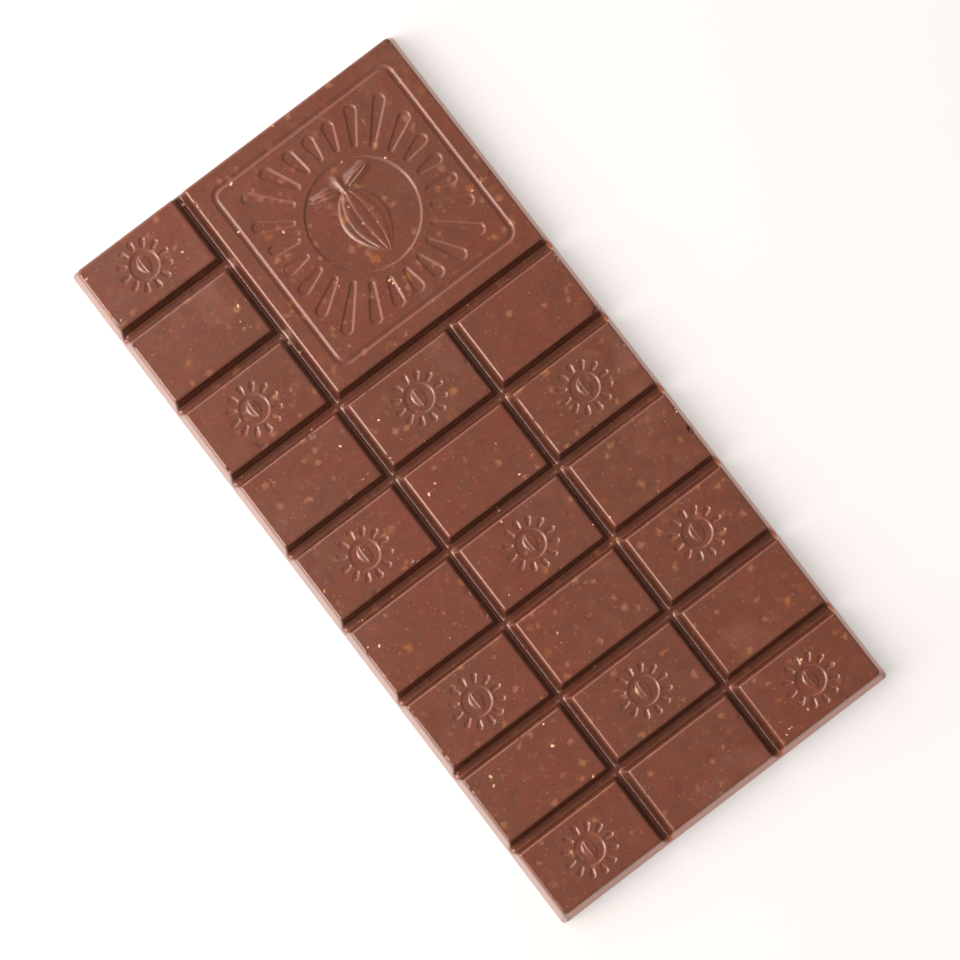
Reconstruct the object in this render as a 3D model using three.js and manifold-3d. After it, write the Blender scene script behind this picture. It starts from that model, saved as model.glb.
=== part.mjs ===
// A moulded chocolate bar: twenty-one small tiles and one large square panel, parted by deep
// grooves, with a sunburst and a cocoa pod stamped in the panel and in every other tile.
// Millimetres, +Z up. The bar lies flat on z = 0, its length runs along Y, and the panel is
// at the +X, +Y corner. The origin is at the middle of the underside.

import * as THREE from 'three';
import { mergeVertices } from 'three/addons/utils/BufferGeometryUtils.js';
import Module from 'manifold-3d';

// Driving dimensions of the bar
const WIDTH = 78;
const LENGTH = 157.5;
const THICKNESS = 7;
const WALL_DRAFT = 1.35; // how far the outer wall leans in from the base to the top
const OUTER_CORNER = 0.9; // radius of the upright outer corners
const TOP_EDGE_ROUND = 0.35;

// Driving dimensions of the grooves and the grid of tiles
const COLUMNS = 3;
const ROWS = 9;
const PITCH_X = 26.4;
const PITCH_Y = 17.6;
const GROOVE_DEPTH = 4;
const GROOVE_TOP = 3;
const GROOVE_FLOOR = 1.25;
const GROOVE_FLOOR_ROUND = 0.28;
const PANEL_COLUMNS = 2; // the panel takes the last two columns
const PANEL_ROWS = 3; // and the three rows at the +Y end

// Driving dimensions of the stamps
const STAMP_DEPTH = 0.3;
const BORDER_SIZE = 43;
const BORDER_WIDTH = 0.9;
const BORDER_CORNER = 2.5;
const PANEL_STAMP = {
  depth: STAMP_DEPTH,
  rays: 24,
  rayStart: 13.2,
  rayReach: 18.8,
  raySquareness: 6,
  rayWidths: [1.0, 2.3],
  rayEndSteps: 2,
  discRadius: 11.3,
  discSteps: 40,
  podLength: 15,
  podWidth: 9.4,
  podRidges: 5,
  podSteps: 7,
  podLift: -1.5,
  stalkLength: 2.6,
  stalkWidth: 1.1,
  leafLength: 6.2,
  leafWidth: 2.6,
};
const TILE_STAMP = {
  depth: 0.22,
  rays: 12,
  rayStart: 3.5,
  rayReach: 5.4,
  raySquareness: 2,
  rayWidths: [0.55, 1.0],
  rayEndSteps: 1,
  discRadius: 2.9,
  discSteps: 16,
  podLength: 4.4,
  podWidth: 2.7,
  podRidges: 3,
  podSteps: 4,
  podLift: 0,
  stalkLength: 0,
};

// Proportions that both sizes of stamp share
const RAY_CORNER = 0.7; // radius of a ray's corners, as a share of half its width there
const POD_LEAN = 0.85; // under 1, the pod is widest nearer its stalk
const POD_FULLNESS = 0.75; // under 1, the pod's ends are blunter
const POD_TURN = 0.4 * Math.PI; // how far round the pod its outermost lines lie
const RIDGE_GAP = 0.07; // half the gap beside one wide ridge, as a share of the pod's half width
const RIDGE_START = 0.07; // where the ridges begin and end, from 0 at the stalk to 1 at the tip
const RIDGE_END = 0.93;
const STALK_OVERLAP = 0.4; // how far the stalk reaches into the pod
const STALK_FLARE = 1.4; // its top is this much wider than its foot
const LEAF_STEPS = 6;
const LEAF_START = 0.9; // how far the leaf's foot stands from the middle of the stalk
const LEAF_RISE = 0.25; // the angle that the leaf rises at, in radians
const LEAF_LEAN = 0.8; // under 1, the leaf is widest nearer its foot

// Working values
const CUT_OVERRUN = 2; // how far a cutting solid stands past what it cuts
const MERGE_DISTANCE = 1e-4;
const CORNER_STEPS = 3;

const wasm = await Module();
wasm.setup();

// A closed three.js geometry as a solid that can be joined and cut
function solid(geometry) {
  geometry.deleteAttribute('normal');
  geometry.deleteAttribute('uv');
  const merged = mergeVertices(geometry, MERGE_DISTANCE);
  return new wasm.Manifold(new wasm.Mesh({
    numProp: 3,
    vertProperties: new Float32Array(merged.attributes.position.array),
    triVerts: new Uint32Array(merged.index.array),
  }));
}

// The solid back as a three.js geometry
function geometryOf(body) {
  const mesh = body.getMesh();
  const geometry = new THREE.BufferGeometry();
  geometry.setAttribute('position', new THREE.BufferAttribute(mesh.vertProperties, 3));
  geometry.setIndex(new THREE.BufferAttribute(mesh.triVerts, 1));
  const faceted = geometry.toNonIndexed();
  faceted.computeVertexNormals();
  return faceted;
}

// The corner at point, between the lines from before and to after, as an arc of the radius
function roundCorner(before, point, after, radius, steps) {
  const toBefore = before.clone().sub(point).normalize();
  const toAfter = after.clone().sub(point).normalize();
  const half = Math.acos(toBefore.dot(toAfter)) / 2;
  const bisector = toBefore.clone().add(toAfter).normalize();
  const centre = point.clone().addScaledVector(bisector, radius / Math.sin(half));
  const first = point.clone().addScaledVector(toBefore, radius / Math.tan(half)).sub(centre);
  const last = point.clone().addScaledVector(toAfter, radius / Math.tan(half)).sub(centre);
  const turn = Math.atan2(first.cross(last), first.dot(last));
  return Array.from({ length: steps + 1 }, (_, i) => (
    first.clone().rotateAround(new THREE.Vector2(), (turn * i) / steps).add(centre)
  ));
}

// A rectangle with round corners, counterclockwise
function roundedRectangle(width, length, radius, steps) {
  const corners = [[1, -1], [1, 1], [-1, 1], [-1, -1]].map(([x, y]) => (
    new THREE.Vector2((x * width) / 2, (y * length) / 2)
  ));
  return corners.flatMap((corner, i) => (
    roundCorner(corners[(i + 3) % 4], corner, corners[(i + 1) % 4], radius, steps)
  ));
}

// A closed skin over outlines that lie one above the other, each with the same number of points
function loft(levels) {
  const count = levels[0].outline.length;
  const positions = levels.flatMap(({ outline, z }) => outline.flatMap((p) => [p.x, p.y, z]));
  const index = [];
  for (let level = 1; level < levels.length; level += 1) {
    for (let i = 0; i < count; i += 1) {
      const next = (i + 1) % count;
      const below = (level - 1) * count;
      const above = level * count;
      index.push(below + i, below + next, above + next);
      index.push(below + i, above + next, above + i);
    }
  }
  const top = (levels.length - 1) * count;
  for (let i = 2; i < count; i += 1) {
    index.push(0, i, i - 1);
    index.push(top, top + i - 1, top + i);
  }
  const geometry = new THREE.BufferGeometry();
  geometry.setAttribute('position', new THREE.Float32BufferAttribute(positions, 3));
  geometry.setIndex(index);
  return geometry;
}

// The slab with its leaning walls and rounded top edge, before anything is cut
function slab() {
  const base = new THREE.Vector2(0, 0);
  const rim = new THREE.Vector2(WALL_DRAFT, THICKNESS);
  const middle = new THREE.Vector2(WIDTH / 2, THICKNESS);
  const wall = [base, ...roundCorner(base, rim, middle, TOP_EDGE_ROUND, CORNER_STEPS)];
  return solid(loft(wall.map(({ x: inset, y: z }) => ({
    outline: roundedRectangle(WIDTH - 2 * inset, LENGTH - 2 * inset, OUTER_CORNER, CORNER_STEPS),
    z,
  }))));
}

// The section of a groove: a narrow round floor, leaning walls and rounded shoulders
function grooveSection() {
  const floorZ = THICKNESS - GROOVE_DEPTH;
  const middle = new THREE.Vector2(0, floorZ);
  const foot = new THREE.Vector2(GROOVE_FLOOR / 2, floorZ);
  const shoulder = new THREE.Vector2(GROOVE_TOP / 2, THICKNESS);
  const outside = new THREE.Vector2(GROOVE_TOP, THICKNESS);
  const half = [
    ...roundCorner(middle, foot, shoulder, GROOVE_FLOOR_ROUND, CORNER_STEPS),
    ...roundCorner(foot, shoulder, outside, TOP_EDGE_ROUND, CORNER_STEPS),
  ];
  half.push(new THREE.Vector2(half.at(-1).x, THICKNESS + CUT_OVERRUN));
  const mirrored = half.map((p) => new THREE.Vector2(-p.x, p.y)).reverse();
  return new THREE.Shape([...half, ...mirrored]);
}

// A cutting solid for one groove, from start to end along X or Y, at the given place across
function groove(axis, across, start, end) {
  const geometry = new THREE.ExtrudeGeometry(grooveSection(), {
    depth: end - start,
    bevelEnabled: false,
  });
  const up = new THREE.Vector3(0, 0, 1);
  const along = axis === 'x' ? new THREE.Vector3(1, 0, 0) : new THREE.Vector3(0, 1, 0);
  const sideways = up.clone().cross(along);
  geometry.applyMatrix4(new THREE.Matrix4().makeBasis(sideways, up, along));
  if (axis === 'x') geometry.translate(start, across, 0);
  else geometry.translate(across, start, 0);
  return solid(geometry);
}

// Where groove number i lies between count rows or columns of the pitch
function grooveLine(i, count, pitch) {
  return (i + 1 - count / 2) * pitch;
}

// All grooves. Those that would cross the panel stop at the groove beside it.
function grooves() {
  const cuts = [];
  const panelLeft = grooveLine(COLUMNS - PANEL_COLUMNS - 1, COLUMNS, PITCH_X);
  const panelFront = grooveLine(ROWS - PANEL_ROWS - 1, ROWS, PITCH_Y);
  const endX = WIDTH / 2 + CUT_OVERRUN;
  const endY = LENGTH / 2 + CUT_OVERRUN;
  for (let i = 0; i < COLUMNS - 1; i += 1) {
    const x = grooveLine(i, COLUMNS, PITCH_X);
    cuts.push(groove('y', x, -endY, x > panelLeft ? panelFront : endY));
  }
  for (let i = 0; i < ROWS - 1; i += 1) {
    const y = grooveLine(i, ROWS, PITCH_Y);
    cuts.push(groove('x', y, -endX, y > panelFront ? panelLeft : endX));
  }
  return cuts;
}

// A prism that cuts from the depth below the bar's top face to above it
function stampPrism(outline, depth) {
  const geometry = new THREE.ExtrudeGeometry(new THREE.Shape(outline), {
    depth: depth + CUT_OVERRUN,
    bevelEnabled: false,
  });
  geometry.translate(0, 0, THICKNESS - depth);
  return solid(geometry);
}

// A ray lies at the angle and widens outwards. Its outer end stays within a soft square.
function rayOutline(stamp, angle) {
  const power = stamp.raySquareness;
  const spread = Math.abs(Math.cos(angle)) ** power + Math.abs(Math.sin(angle)) ** power;
  const end = stamp.rayReach / spread ** (1 / power);
  const [inner, outer] = stamp.rayWidths.map((width) => width / 2);
  const corners = [[stamp.rayStart, -inner], [end, -outer], [end, outer], [stamp.rayStart, inner]];
  const points = corners.map(([x, y]) => new THREE.Vector2(x, y));
  const rounded = points.flatMap((point, i) => (stamp.rayEndSteps < 2 ? [point] : roundCorner(
    points[(i + 3) % 4],
    point,
    points[(i + 1) % 4],
    Math.abs(point.y) * RAY_CORNER,
    stamp.rayEndSteps,
  )));
  return rounded.map((p) => p.rotateAround(new THREE.Vector2(), angle));
}

// Half the width of a cocoa pod at t, from 0 at its stalk to 1 at its pointed tip
function podHalfWidth(stamp, t) {
  return (stamp.podWidth / 2) * Math.sin(Math.PI * t ** POD_LEAN) ** POD_FULLNESS;
}

// One ridge of the pod, between two of the lines that run from the stalk to the tip. The lines
// draw together towards the sides, as on a round pod seen from the front.
function ridgeOutline(stamp, ridge) {
  const gap = RIDGE_GAP / Math.sqrt(stamp.podRidges);
  const sideLine = (step, gapSide, t) => {
    const turn = POD_TURN * (-1 + (2 * step) / stamp.podRidges);
    const across = Math.sin(turn) / Math.sin(POD_TURN);
    const x = (across + gapSide * gap) * podHalfWidth(stamp, t);
    return new THREE.Vector2(x, stamp.podLength * (0.5 - t));
  };
  const heights = Array.from({ length: stamp.podSteps }, (_, i) => (
    RIDGE_START + ((RIDGE_END - RIDGE_START) * i) / (stamp.podSteps - 1)
  ));
  const left = heights.map((t) => sideLine(ridge, 1, t));
  const right = heights.map((t) => sideLine(ridge + 1, -1, t));
  return [...left, ...right.reverse()];
}

// The short stalk on top of the pod
function stalkOutline(stamp) {
  const half = stamp.stalkWidth / 2;
  const wide = half * STALK_FLARE;
  const foot = stamp.podLength / 2 - STALK_OVERLAP;
  const top = stamp.podLength / 2 + stamp.stalkLength;
  return [[-half, foot], [half, foot], [wide, top], [-wide, top]].map(([x, y]) => (
    new THREE.Vector2(x, y)
  ));
}

// A pointed leaf that grows from beside the stalk, on the side given as 1 or -1
function leafOutline(stamp, side) {
  const edge = (sign) => Array.from({ length: LEAF_STEPS + 1 }, (_, i) => {
    const t = i / LEAF_STEPS;
    const bulge = (sign * stamp.leafWidth * Math.sin(Math.PI * t ** LEAF_LEAN)) / 2;
    return new THREE.Vector2(LEAF_START + t * stamp.leafLength, bulge);
  });
  const loop = [...edge(-1), ...edge(1).reverse().slice(1, -1)];
  const placed = loop.map((p) => p.rotateAround(new THREE.Vector2(), LEAF_RISE));
  const upright = placed.map((p) => new THREE.Vector2(side * p.x, p.y + stamp.podLength / 2));
  return side > 0 ? upright : upright.reverse();
}

// The outlines of all that stands up in the middle of a stamp
function podOutlines(stamp) {
  const outlines = Array.from({ length: stamp.podRidges }, (_, i) => ridgeOutline(stamp, i));
  if (stamp.stalkLength > 0) {
    outlines.push(stalkOutline(stamp), leafOutline(stamp, 1), leafOutline(stamp, -1));
  }
  const lift = new THREE.Vector2(0, stamp.podLift);
  return outlines.map((outline) => outline.map((p) => p.add(lift)));
}

// The round middle of a stamp: a shallow disc, less the pod that stands in it
function medallion(stamp) {
  const disc = Array.from({ length: stamp.discSteps }, (_, i) => (
    new THREE.Vector2(stamp.discRadius, 0)
      .rotateAround(new THREE.Vector2(), (2 * Math.PI * i) / stamp.discSteps)
  ));
  return podOutlines(stamp).reduce(
    (cut, outline) => cut.subtract(stampPrism(outline, stamp.depth + CUT_OVERRUN)),
    stampPrism(disc, stamp.depth),
  );
}

// The whole cutting solid of a stamp, centred on the origin
function sunburst(stamp) {
  const rays = Array.from({ length: stamp.rays }, (_, i) => (
    stampPrism(rayOutline(stamp, (2 * Math.PI * i) / stamp.rays), stamp.depth)
  ));
  return rays.reduce((cut, ray) => cut.add(ray), medallion(stamp));
}

// The square line round the panel's stamp
function border() {
  const inside = BORDER_SIZE - 2 * BORDER_WIDTH;
  const innerCorner = BORDER_CORNER - BORDER_WIDTH;
  const outer = roundedRectangle(BORDER_SIZE, BORDER_SIZE, BORDER_CORNER, CORNER_STEPS);
  const inner = roundedRectangle(inside, inside, innerCorner, CORNER_STEPS);
  return stampPrism(outer, STAMP_DEPTH).subtract(stampPrism(inner, STAMP_DEPTH + CUT_OVERRUN));
}

// The middle of the panel's top face
function panelCentre() {
  const left = grooveLine(COLUMNS - PANEL_COLUMNS - 1, COLUMNS, PITCH_X) + GROOVE_TOP / 2;
  const front = grooveLine(ROWS - PANEL_ROWS - 1, ROWS, PITCH_Y) + GROOVE_TOP / 2;
  return [(left + WIDTH / 2 - WALL_DRAFT) / 2, (front + LENGTH / 2 - WALL_DRAFT) / 2];
}

// Whether the tile carries a stamp: every other one, starting beside the panel's far end
function isStamped(column, row) {
  const inPanel = column >= COLUMNS - PANEL_COLUMNS && row < PANEL_ROWS;
  return !inPanel && (column + row) % 2 === 0;
}

// The stamps of the small tiles. Row 0 is at the +Y end.
function tileStamps() {
  const stamp = sunburst(TILE_STAMP);
  const cuts = [];
  for (let row = 0; row < ROWS; row += 1) {
    for (let column = 0; column < COLUMNS; column += 1) {
      if (isStamped(column, row)) {
        const x = (column - (COLUMNS - 1) / 2) * PITCH_X;
        const y = ((ROWS - 1) / 2 - row) * PITCH_Y;
        cuts.push(stamp.translate(x, y, 0));
      }
    }
  }
  return cuts;
}

// The one solid of the bar
function chocolateBar() {
  const [x, y] = panelCentre();
  const panelStamp = border().add(sunburst(PANEL_STAMP)).translate(x, y, 0);
  const cuts = [...grooves(), panelStamp, ...tileStamps()];
  return cuts.reduce((bar, cut) => bar.subtract(cut), slab());
}

const milkChocolate = new THREE.MeshStandardMaterial({
  name: 'milk_chocolate',
  color: 0x854e3e,
  roughness: 0.42,
  metalness: 0,
});

const bar = new THREE.Mesh(geometryOf(chocolateBar()), milkChocolate);
bar.name = 'chocolate_bar';

const model = new THREE.Group();
model.add(bar);

export default model;
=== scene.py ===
"""A moulded milk chocolate bar on a plain floor.

The bar is one closed mesh. Its outline, its grid of tiles and its stamps are drawn flat, as lines
in the plan, and a Geometry Nodes tree then raises that sheet by one rule into walls, grooves and
rounded edges. Crumbs are scattered over it by a second tree. The file is laid out as an add-on:
the sidebar panel lists the sizes, the colours and the three steps.
"""

import math
from itertools import product
from types import SimpleNamespace

import bpy
import numpy as np
from bpy.props import FloatProperty, FloatVectorProperty, IntProperty, PointerProperty
from mathutils import Matrix, Vector
from mathutils.geometry import delaunay_2d_cdt


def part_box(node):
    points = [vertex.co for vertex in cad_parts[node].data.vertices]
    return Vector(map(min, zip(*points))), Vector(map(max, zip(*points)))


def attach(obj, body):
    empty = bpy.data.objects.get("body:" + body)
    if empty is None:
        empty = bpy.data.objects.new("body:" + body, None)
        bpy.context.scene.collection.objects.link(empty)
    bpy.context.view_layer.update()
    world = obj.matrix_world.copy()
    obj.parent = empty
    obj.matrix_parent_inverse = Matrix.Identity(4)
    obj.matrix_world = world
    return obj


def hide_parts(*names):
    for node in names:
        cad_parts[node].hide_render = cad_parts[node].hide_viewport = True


bl_info = {
    "name": "Moulded chocolate bar",
    "version": (1, 0, 0),
    "blender": (4, 5, 0),
    "location": "View3D > Sidebar > Chocolate",
    "description": "Moulds a milk chocolate bar with grooves, stamps and crumbs",
    "category": "Add Mesh",
}

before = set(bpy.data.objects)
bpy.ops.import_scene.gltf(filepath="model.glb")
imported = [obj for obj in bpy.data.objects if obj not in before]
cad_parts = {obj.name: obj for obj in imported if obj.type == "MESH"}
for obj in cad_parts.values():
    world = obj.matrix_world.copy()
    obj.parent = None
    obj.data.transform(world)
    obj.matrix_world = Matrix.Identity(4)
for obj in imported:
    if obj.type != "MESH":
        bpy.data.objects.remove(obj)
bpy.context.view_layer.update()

NODE = "chocolate_bar"
BODY = "root"
MM = 0.001
BAR_LOW, BAR_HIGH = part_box(NODE)
BAR_SIZE = BAR_HIGH - BAR_LOW

# The grid of tiles. Columns count from -X, rows from the +Y end, and the panel takes the last
# columns of the first rows.
COLUMNS = 3
ROWS = 9
PANEL_COLUMNS = 2
PANEL_ROWS = 3

SMALLEST_GAP = 1e-3  # points of the plan closer than this, in mm, are one
ROUNDING_STEPS = 5  # faces across each rounded edge
FLOOR_STEPS = 4  # faces across the rounding at each side of a groove's floor
PAST_ROUNDING = 0.15  # mm of flat between a rounding and the last line beside it
LINE_SPACING = 1.2  # most mm between points along the grooves
FLAT_SPACING = 1.7  # mm between the loose points on the flats
BACK_SPACING = 2.5  # mm between those on the back
WAVES_PER_METRE = 95.0
SHARP_ANGLE = 0.9  # radians between two faces, from which their edge isn't smoothed
FEWEST_FACES = 1000  # with fewer, the bar has lost its surface

# The pod and its leaves. A shift under 1 puts the widest place nearer the stalk.
POD_SHIFT = 0.85
POD_FULLNESS = 0.75  # the less, the blunter its ends
POD_TURN = 0.4 * math.pi  # how far round the pod the ridges are seen to each side
POD_HEIGHT = 0.94  # share of the depth of its disc
LEAF_SHIFT = 0.8
LEAF_LIFT = 0.25  # radians above level
LEAF_START = 0.9  # mm from the stalk's foot

# Where crumbs lie in a cluster, in mm: its place, its radius and its share of CLUSTER_THICKNESS
CLUSTER_THICKNESS = 2.2
CRUMB_CLUSTERS = (
    ((2.0, 43.9), 1.6, 0.9),
    ((8.4, 38.1), 1.3, 0.7),
    ((-5.9, 10.7), 1.5, 0.9),
    ((-9.8, 1.5), 1.2, 0.7),
    ((-31.0, -8.8), 1.6, 0.9),
    ((-34.9, -16.1), 1.4, 0.9),
    ((-9.3, -22.9), 1.2, 0.8),
    ((-32.0, -46.9), 1.4, 0.7),
    ((27.5, -30.3), 1.2, 0.7),
    ((16.2, -75.7), 1.4, 0.8),
    ((34.9, -56.6), 1.2, 0.7),
    ((30.9, -76.7), 0.6, 0.9),
    ((34.3, -77.0), 0.6, 0.9),
    ((-37.3, 76.2), 0.7, 0.8),
    ((-37.2, 65.4), 0.8, 0.9),
    ((-35.0, 60.3), 0.5, 0.7),
    ((-11.6, 40.2), 0.7, 0.8),
)

# Grains in the chocolate: cells per mm, a grain's radius and how far its outline wanders in mm,
# the share of cells that hold one, how strongly the faintest shows and how much more the clearest,
# and the colour
GRAINS = (
    (0.30, 1.3, 2.2, 0.45, 0.08, 0.42, "amber"),
    (0.42, 1.0, 1.8, 0.50, 0.1, 0.58, "tan"),
    (1.10, 0.36, 0.6, 0.18, 0.1, 0.42, "tan"),
    (2.4, 0.16, 0.1, 0.02, 0.3, 0.6, "pale"),
)

# The view, found from the bar's corners and grooves in the picture: metres in the bar's frame
PICTURE_SIDE_PX = 960
CAMERA_FOCUS_PX = 3523.0
CAMERA_CENTRE_PX = (472.0, 484.0)
CAMERA_PLACE = (-0.0246, -0.0660, 0.6763)
CAMERA_SIGHT = (0.0336, 0.0956, -0.9948)
CAMERA_RIGHT = (0.7950, -0.6058, -0.0314)

# The soft lights stand one metre from the bar, like a tall window and the pale wall beside it:
# degrees from the bar's -X side towards its +Y end, degrees up, width and height in metres
WINDOW = (15.0, 43.5, 0.42, 1.28)
PALE_WALL = (62.0, 42.0, 0.95, 1.1)


def length_property(name, description, default_mm):
    """A size that is kept in metres and given here in millimetres."""
    value = default_mm * MM
    return FloatProperty(name=name, description=description, default=value, precision=5, unit="LENGTH")


def colour_property(name, description, default):
    """A colour in Blender's linear values."""
    options = {"subtype": "COLOR", "size": 3, "min": 0.0, "max": 1.0}
    return FloatVectorProperty(name=name, description=description, default=default, **options)


class BarSizes(bpy.types.PropertyGroup):
    """The sizes of the moulded bar. Its three outer sizes are the frame's."""

    width: length_property("Width", "Across the base", BAR_SIZE.x / MM)
    length: length_property("Length", "Along the base", BAR_SIZE.y / MM)
    thickness: length_property("Thickness", "From base to tile tops", BAR_SIZE.z / MM)
    wall_lean: length_property("Wall lean", "How far the outer wall leans in", 1.35)
    outer_corner: length_property("Outer corner", "Radius of the upright corners", 0.9)
    edge_round: length_property("Edge round", "Radius along the tiles' top edges", 0.45)
    pitch_x: length_property("Pitch X", "Width of a tile with its groove", 26.4)
    pitch_y: length_property("Pitch Y", "Length of a tile with its groove", 17.6)
    groove_depth: length_property("Groove depth", "Below the tile tops", 4.0)
    groove_top: length_property("Groove top", "Width between the tiles' edges", 3.0)
    groove_floor: length_property("Groove floor", "Width at the bottom", 1.25)
    floor_round: length_property("Floor round", "Radius where the groove's walls end", 0.60)
    tile_corner: length_property("Tile corner", "Radius of the tiles' upright edges", 0.3)
    waviness: length_property("Waviness", "How far the tile tops wander", 0.035)
    hollows: length_property("Hollows", "How far the back rises off the floor", 0.08)
    seed: IntProperty(name="Seed", description="Chooses the waves and flaws", default=7)


# The sizes of both stamps, rays round a disc with a cocoa pod in it: the name, what it is, the
# panel's value and the small tiles'. Lengths in mm; whole numbers are counts.
STAMP_SIZES = (
    ("depth", "Below the tile top", 0.3, 0.22),
    ("wall", "Half the run of the recesses' walls", 0.19, 0.15),
    ("rays", "Number of rays", 24, 12),
    ("ray_start", "Where the rays begin, from the centre", 13.2, 3.5),
    ("ray_reach", "Where the shortest rays end", 18.8, 5.4),
    ("ray_squareness", "2 ends the rays on a circle, more on a soft square", 6.0, 2.0),
    ("ray_inner", "Width at the centre's side", 1.0, 0.55),
    ("ray_outer", "Width at the far end", 2.3, 1.0),
    ("disc_radius", "Radius of the round recess", 11.3, 2.9),
    ("pod_length", "Stalk end to tip", 15.0, 4.4),
    ("pod_width", "Across its middle", 9.4, 2.7),
    ("pod_lift", "How far it sits off the centre", -1.5, 0.0),
    ("pod_ridges", "Ridges that show", 5, 3),
    ("stalk_length", "Nothing for no stalk or leaves", 2.6, 0.0),
    ("stalk_width", "At its foot", 1.1, 1.1),
    ("leaf_length", "Stalk to leaf tip", 6.2, 6.2),
    ("leaf_width", "Across its middle", 2.6, 2.6),
    ("border", "Outer width of the square line, or nothing", 43.0, 0.0),
    ("border_width", "Width of the square line", 0.9, 0.9),
    ("border_corner", "Outer radius at its corners", 2.5, 2.5),
)


def stamp_properties(column):
    """A stamp's properties, with the values in that column of the table."""
    made = {}
    for name, description, *values in STAMP_SIZES:
        value = values[column]
        label = name.replace("_", " ").capitalize()
        if isinstance(value, int):
            made[name] = IntProperty(name=label, description=description, default=value, min=3)
        elif name == "ray_squareness":
            made[name] = FloatProperty(name=label, description=description, default=value)
        else:
            made[name] = length_property(label, description, value)
    return made


class PanelStamp(bpy.types.PropertyGroup):
    """The panel's stamp."""

    __annotations__ = stamp_properties(0)


class TileStamp(bpy.types.PropertyGroup):
    """The small tiles' stamp: fewer rays, and no stalk, leaves or border."""

    __annotations__ = stamp_properties(1)


class ChocolateColours(bpy.types.PropertyGroup):
    """The colours of milk chocolate and of what is in it."""

    red_brown: colour_property("Red brown", "The warmer of the two browns", (0.1155, 0.0368, 0.0220))
    olive_brown: colour_property("Olive brown", "The cooler brown", (0.100, 0.0388, 0.0237))
    amber: colour_property("Amber", "Caramel grains under the surface", (0.30, 0.128, 0.032))
    tan: colour_property("Tan", "Paler grains of every size", (0.255, 0.125, 0.064))
    pale: colour_property("Pale", "The finest specks", (0.34, 0.25, 0.19))
    # Bloom is also painted on every rounded edge as a painted highlight.
    bloom: colour_property("Bloom", "Dull fat, in faint smears and on worn edges", (0.30, 0.17, 0.13))
    crumb: colour_property("Crumb", "Fresh crumbs", (0.60, 0.40, 0.27))
    # A paler brown painted on two outer walls: painted light, as bounced from the floor.
    painted_floor_light: colour_property("Painted floor light", "The dull brown of two outer walls", (0.50, 0.165, 0.098))
    dust: colour_property("Dust", "The fine dust on the outer walls", (1.0, 0.84, 0.78))


class CrumbSizes(bpy.types.PropertyGroup):
    """How many crumbs lie on the bar, and how large they are."""

    smallest: length_property("Smallest", "Smallest crumb", 0.12)
    largest: length_property("Largest", "Largest crumb", 0.95)
    per_square_cm: FloatProperty(name="Per square cm", description="At their thickest", default=60.0)
    seed: IntProperty(name="Seed", description="Chooses where they fall", default=3)


class StageSettings(bpy.types.PropertyGroup):
    """The floor and the lights."""

    floor_colour: colour_property("Floor", "The floor's grey", (0.30, 0.345, 0.37))
    floor_glow: FloatProperty(name="Floor glow", description="The floor's own light", default=0.46)
    glow_colour: colour_property("Glow colour", "Warm light in the shadows", (1.0, 0.94, 0.90))
    floor_size: length_property("Floor size", "Side of the square floor", 3000.0)
    window_power: FloatProperty(name="Window", description="Watts of the tall light", default=20.0)
    wall_power: FloatProperty(name="Pale wall", description="Watts of the broad light", default=13.0)
    window_colour: colour_property("Window colour", "Warm daylight", (1.0, 0.80, 0.72))
    sky: FloatProperty(name="Sky", description="Strength of the room's own light", default=0.25)
    sky_colour: colour_property("Sky colour", "The room's own light", (1.0, 0.93, 0.88))


def number_properties(group):
    """The properties of a group that hold one number each."""
    return [kind for kind in type(group).bl_rna.properties if kind.type in ("FLOAT", "INT")]


def in_mm(sizes):
    """A property group's sizes in millimetres, and its plain numbers as they are."""
    values = {}
    for kind in number_properties(sizes):
        value = getattr(sizes, kind.identifier)
        values[kind.identifier] = round(value / MM, 4) if kind.unit == "LENGTH" else value
    return SimpleNamespace(**values)


def add_object(name, data):
    """Links a mesh, a light or a camera to the scene as an object at the origin."""
    made = bpy.data.objects.new(name, data)
    bpy.context.scene.collection.objects.link(made)
    return made


# Ordinary arithmetic that builds nodes


def plug(tree, slot, value):
    """Gives an input a field, an output or a plain value."""
    value = getattr(value, "socket", value)
    if isinstance(value, bpy.types.NodeSocket):
        tree.links.new(value, slot)
    elif slot.type == "RGBA":
        slot.default_value = (*value, 1.0)
    else:
        slot.default_value = value


def add_node(tree, kind, inputs=(), **settings):
    """A new node with its settings, and its inputs given by name or number."""
    node = tree.nodes.new(kind)
    for name, value in settings.items():
        setattr(node, name, value)
    for key, value in dict(inputs).items():
        plug(tree, node.inputs[key], value)
    return node


class Field:
    """An output of a node. Arithmetic on one that is a number adds Math nodes to its tree."""

    def __init__(self, tree, socket):
        self.tree = tree
        self.socket = socket

    def __rsub__(self, other):
        return -self + other

    def __neg__(self):
        return self * -1.0

    def within(self, low, high):
        return self.most(low).least(high)


def math_method(operation):
    """A method that adds one Math node."""

    def method(self, *others):
        inputs = dict(enumerate((self, *others)))
        return node_field(self.tree, "ShaderNodeMath", inputs, operation=operation)

    return method


for method_name, math_operation in (
    ("__add__", "ADD"),
    ("__sub__", "SUBTRACT"),
    ("__mul__", "MULTIPLY"),
    ("__truediv__", "DIVIDE"),
    ("__abs__", "ABSOLUTE"),
    ("__gt__", "GREATER_THAN"),
    ("__lt__", "LESS_THAN"),
    ("least", "MINIMUM"),
    ("most", "MAXIMUM"),
    ("root", "SQRT"),
    ("nearest_whole", "ROUND"),
):
    setattr(Field, method_name, math_method(math_operation))


def node_field(tree, kind, inputs=(), output=0, **settings):
    """A new node's output as a field."""
    return Field(tree, add_node(tree, kind, inputs, **settings).outputs[output])


def split(tree, vector):
    """A vector's three parts."""
    outputs = add_node(tree, "ShaderNodeSeparateXYZ", {0: vector}).outputs
    return [Field(tree, output) for output in outputs]


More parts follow.
